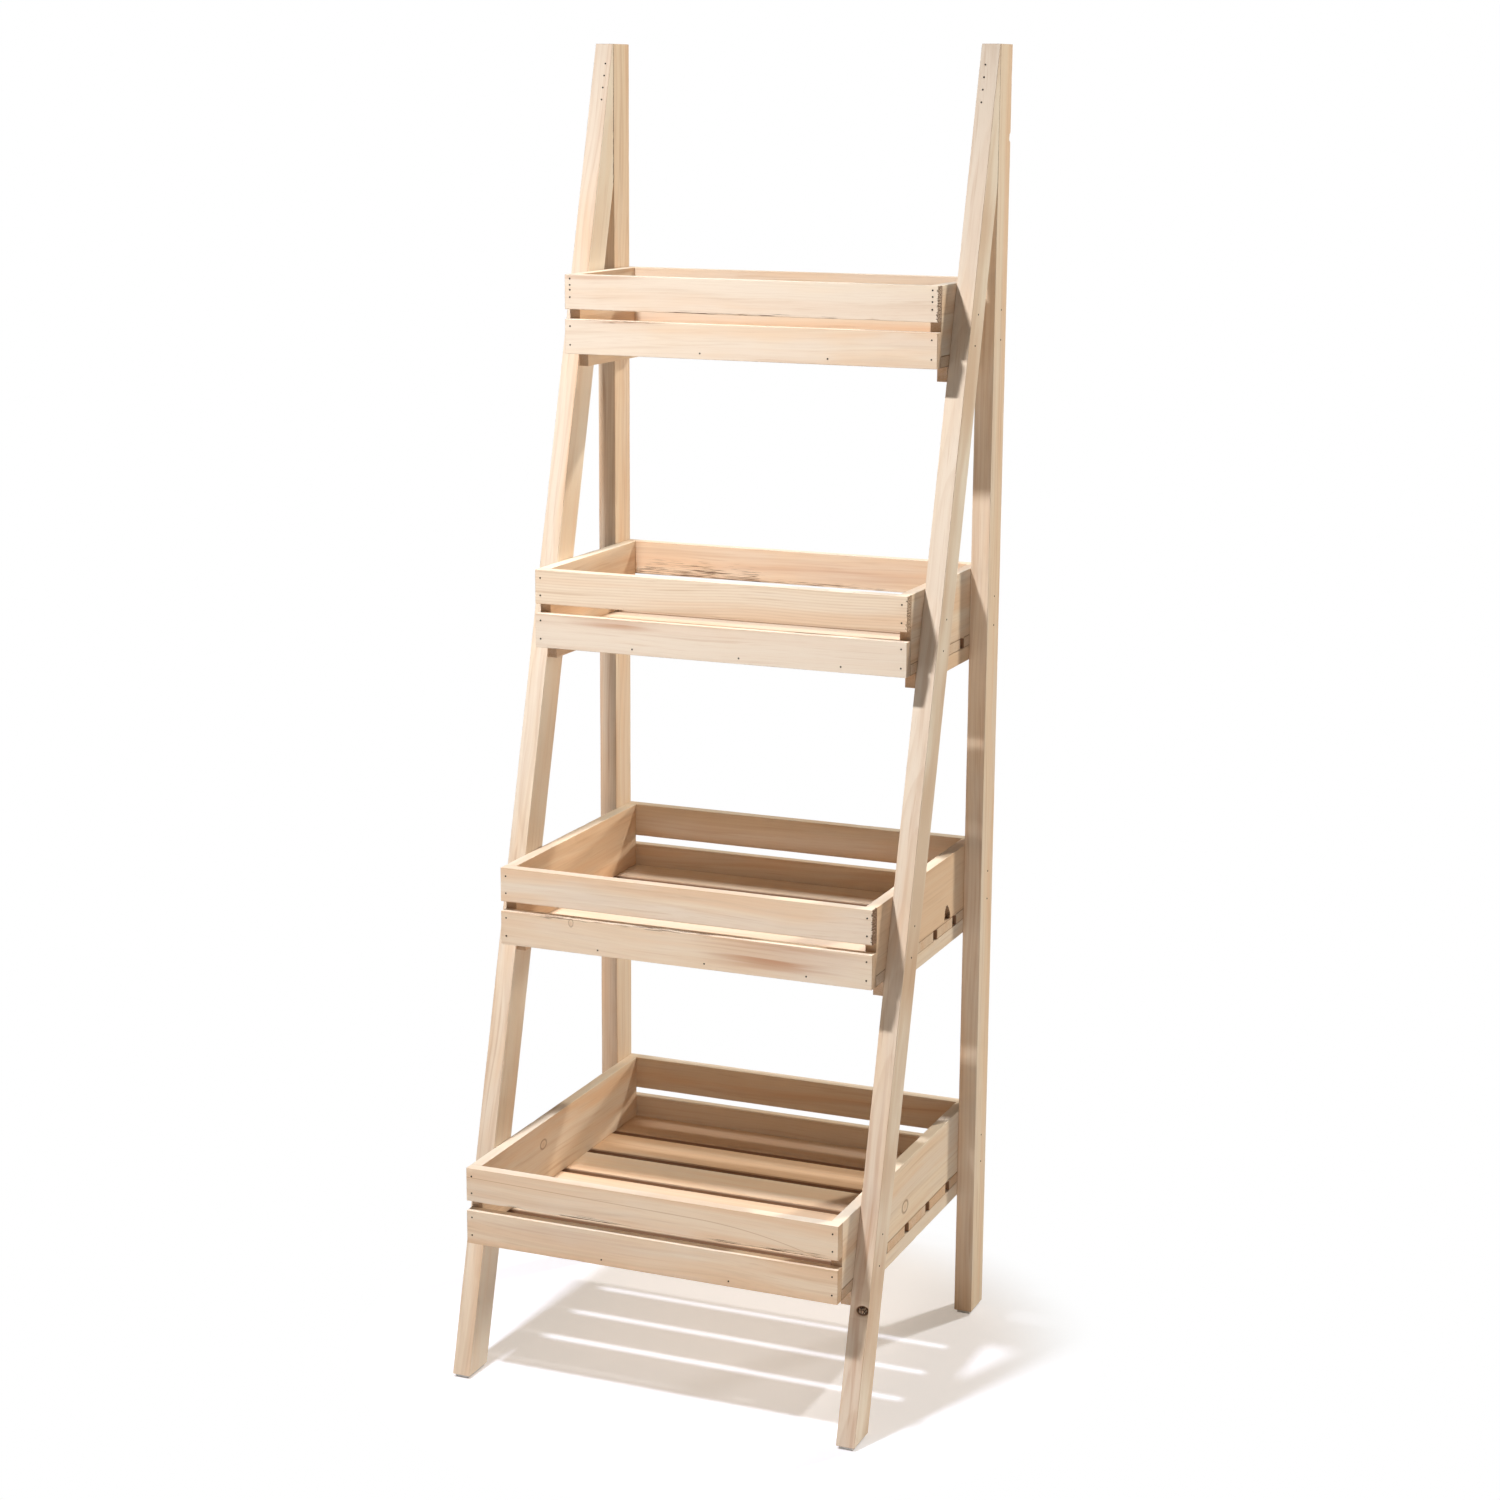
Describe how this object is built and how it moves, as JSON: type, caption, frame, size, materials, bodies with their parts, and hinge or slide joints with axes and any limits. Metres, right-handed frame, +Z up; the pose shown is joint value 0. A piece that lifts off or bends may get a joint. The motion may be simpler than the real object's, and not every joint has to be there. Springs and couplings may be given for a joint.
{
  "type": "ladder storage rack",
  "caption": "Free-standing A-frame ladder rack in pale softwood: upright rear posts, leaning front legs and open slatted crate trays that grow deeper towards the floor.",
  "frame": {"origin": "on the floor under the middle of the rack's outer box", "axes": "+X to the right as seen from the front, -Y is the front that the trays step out to, +Z up"},
  "size_m": [0.5266, 0.4766, 1.6],
  "materials": {
    "frame_wood": "matt, planed, pale limewash",
    "tray_wood": "matt, planed, pale limewash",
    "nail_steel": "dull, dark",
    "foot_pad": "matt grey"
  },
  "bodies": {
    "root": {"foot_pads": "foot_pad", "front_leg_left": "frame_wood", "front_leg_right": "frame_wood", "rear_post_left": "frame_wood", "rear_post_right": "frame_wood", "ridge_nails": "nail_steel", "tray_1_back_lower_slat": "tray_wood", "tray_1_back_upper_slat": "tray_wood", "tray_1_cleat_left": "tray_wood", "tray_1_cleat_right": "tray_wood", "tray_1_floor_slat_1": "tray_wood", "tray_1_floor_slat_2": "tray_wood", "tray_1_floor_slat_3": "tray_wood", "tray_1_front_lower_slat": "tray_wood", "tray_1_front_upper_slat": "tray_wood", "tray_1_nails": "nail_steel", "tray_1_side_board_left": "tray_wood", "tray_1_side_board_right": "tray_wood", "tray_2_back_lower_slat": "tray_wood", "tray_2_back_upper_slat": "tray_wood", "tray_2_cleat_left": "tray_wood", "tray_2_cleat_right": "tray_wood", "tray_2_floor_slat_1": "tray_wood", "tray_2_floor_slat_2": "tray_wood", "tray_2_floor_slat_3": "tray_wood", "tray_2_floor_slat_4": "tray_wood", "tray_2_front_lower_slat": "tray_wood", "tray_2_front_upper_slat": "tray_wood", "tray_2_nails": "nail_steel", "tray_2_side_board_left": "tray_wood", "tray_2_side_board_right": "tray_wood", "tray_3_back_lower_slat": "tray_wood", "tray_3_back_upper_slat": "tray_wood", "tray_3_cleat_left": "tray_wood", "tray_3_cleat_right": "tray_wood", "tray_3_floor_slat_1": "tray_wood", "tray_3_floor_slat_2": "tray_wood", "tray_3_floor_slat_3": "tray_wood", "tray_3_floor_slat_4": "tray_wood", "tray_3_floor_slat_5": "tray_wood", "tray_3_front_lower_slat": "tray_wood", "tray_3_front_upper_slat": "tray_wood", "tray_3_nails": "nail_steel", "tray_3_side_board_left": "tray_wood", "tray_3_side_board_right": "tray_wood", "tray_4_back_lower_slat": "tray_wood", "tray_4_back_upper_slat": "tray_wood", "tray_4_cleat_left": "tray_wood", "tray_4_cleat_right": "tray_wood", "tray_4_floor_slat_1": "tray_wood", "tray_4_floor_slat_2": "tray_wood", "tray_4_floor_slat_3": "tray_wood", "tray_4_floor_slat_4": "tray_wood", "tray_4_floor_slat_5": "tray_wood", "tray_4_floor_slat_6": "tray_wood", "tray_4_front_lower_slat": "tray_wood", "tray_4_front_upper_slat": "tray_wood", "tray_4_nails": "nail_steel", "tray_4_side_board_left": "tray_wood", "tray_4_side_board_right": "tray_wood"}
  },
  "joints": []
}
